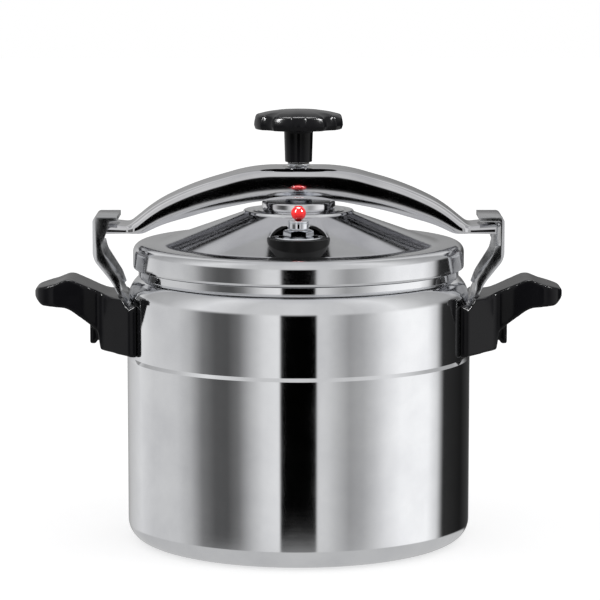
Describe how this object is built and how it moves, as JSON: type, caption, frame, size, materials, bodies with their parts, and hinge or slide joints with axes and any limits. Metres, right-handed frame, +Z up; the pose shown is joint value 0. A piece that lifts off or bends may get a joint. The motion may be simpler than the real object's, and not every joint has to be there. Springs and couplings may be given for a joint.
{
  "type": "pressure canner",
  "caption": "Aluminium pressure canner with a stepped lid held by an arched clamp beam and screw knob, a steam valve with a red ball, and black side handles.",
  "frame": {"origin": "middle of the pot's foot, on the surface it stands on", "axes": "+Z up, +X through the right-hand handle, -Y towards the side with the steam valve"},
  "size_m": [0.3588, 0.2344, 0.294],
  "materials": {
    "polished_aluminium": "mirror polished",
    "polished_steel": "polished",
    "aluminium_rivet": "satin",
    "chrome_plate": "bright plated",
    "zinc_steel": "zinc plated",
    "brass": "turned",
    "black_bakelite": "gloss moulded",
    "red_plastic": "gloss moulded",
    "silicone_rubber": "moulded"
  },
  "bodies": {
    "pot": {"pot_body": "polished_aluminium", "hook_arm_right": "polished_steel", "hook_arm_left": "polished_steel", "arm_rivets": "aluminium_rivet", "handle_right": "black_bakelite", "handle_left": "black_bakelite", "handle_bracket_right": "zinc_steel", "handle_bracket_left": "zinc_steel", "bracket_rivets": "aluminium_rivet", "handle_screws": "zinc_steel", "handle_washers": "zinc_steel"},
    "gasket": {"lid_gasket": "silicone_rubber"},
    "lid": {"lid_shell": "polished_aluminium", "thrust_dish": "polished_steel", "dish_nut": "zinc_steel", "thrust_seat": "zinc_steel", "foot_trap_ring": "zinc_steel", "vent_washer": "chrome_plate", "vent_nut": "chrome_plate", "vent_seal": "silicone_rubber", "vent_lock_nut": "brass", "vent_pipe": "brass", "anti_clog_cap": "chrome_plate", "safety_plug_seat": "chrome_plate", "safety_plug": "silicone_rubber"},
    "screw": {"screw_foot": "zinc_steel", "screw_spindle": "chrome_plate", "knob_insert": "brass", "knob": "black_bakelite"},
    "nut": {"beam_nut": "brass"},
    "beam": {"beam": "polished_steel", "beam_washer": "zinc_steel"},
    "valve": {"valve_weight": "chrome_plate", "valve_ball": "red_plastic"}
  },
  "joints": [
    {"name": "lid_lift", "type": "slide", "parent": "pot", "child": "gasket", "axis": [0, 0, 1], "range_m": [0, 0.03751]},
    {"name": "lid_turn", "type": "hinge", "parent": "gasket", "child": "lid", "pos_m": [0, 0, 0.2], "axis": [0, 0, 1], "range_deg": [-450, 0]},
    {"name": "knob_turn", "type": "hinge", "parent": "lid", "child": "screw", "pos_m": [0, 0, 0.26], "axis": [0, 0, 1], "range_deg": [0, 432.5]},
    {"name": "beam_drop", "type": "slide", "parent": "lid", "child": "nut", "axis": [0, 0, -1], "range_m": [0, 0.0024]},
    {"name": "beam_swing", "type": "hinge", "parent": "nut", "child": "beam", "pos_m": [0, 0, 0.25], "axis": [0, 0, 1], "range_deg": [-60, 0]},
    {"name": "valve_lift", "type": "slide", "parent": "lid", "child": "valve", "axis": [0, 0, 1], "range_m": [0, 0.012]}
  ],
  "couplings": [
    {"joint": "lid_lift", "follows": "lid_turn", "m_per_rad": -0.0047746},
    {"joint": "knob_turn", "follows": "beam_drop", "rad_per_m": 3141.6}
  ]
}
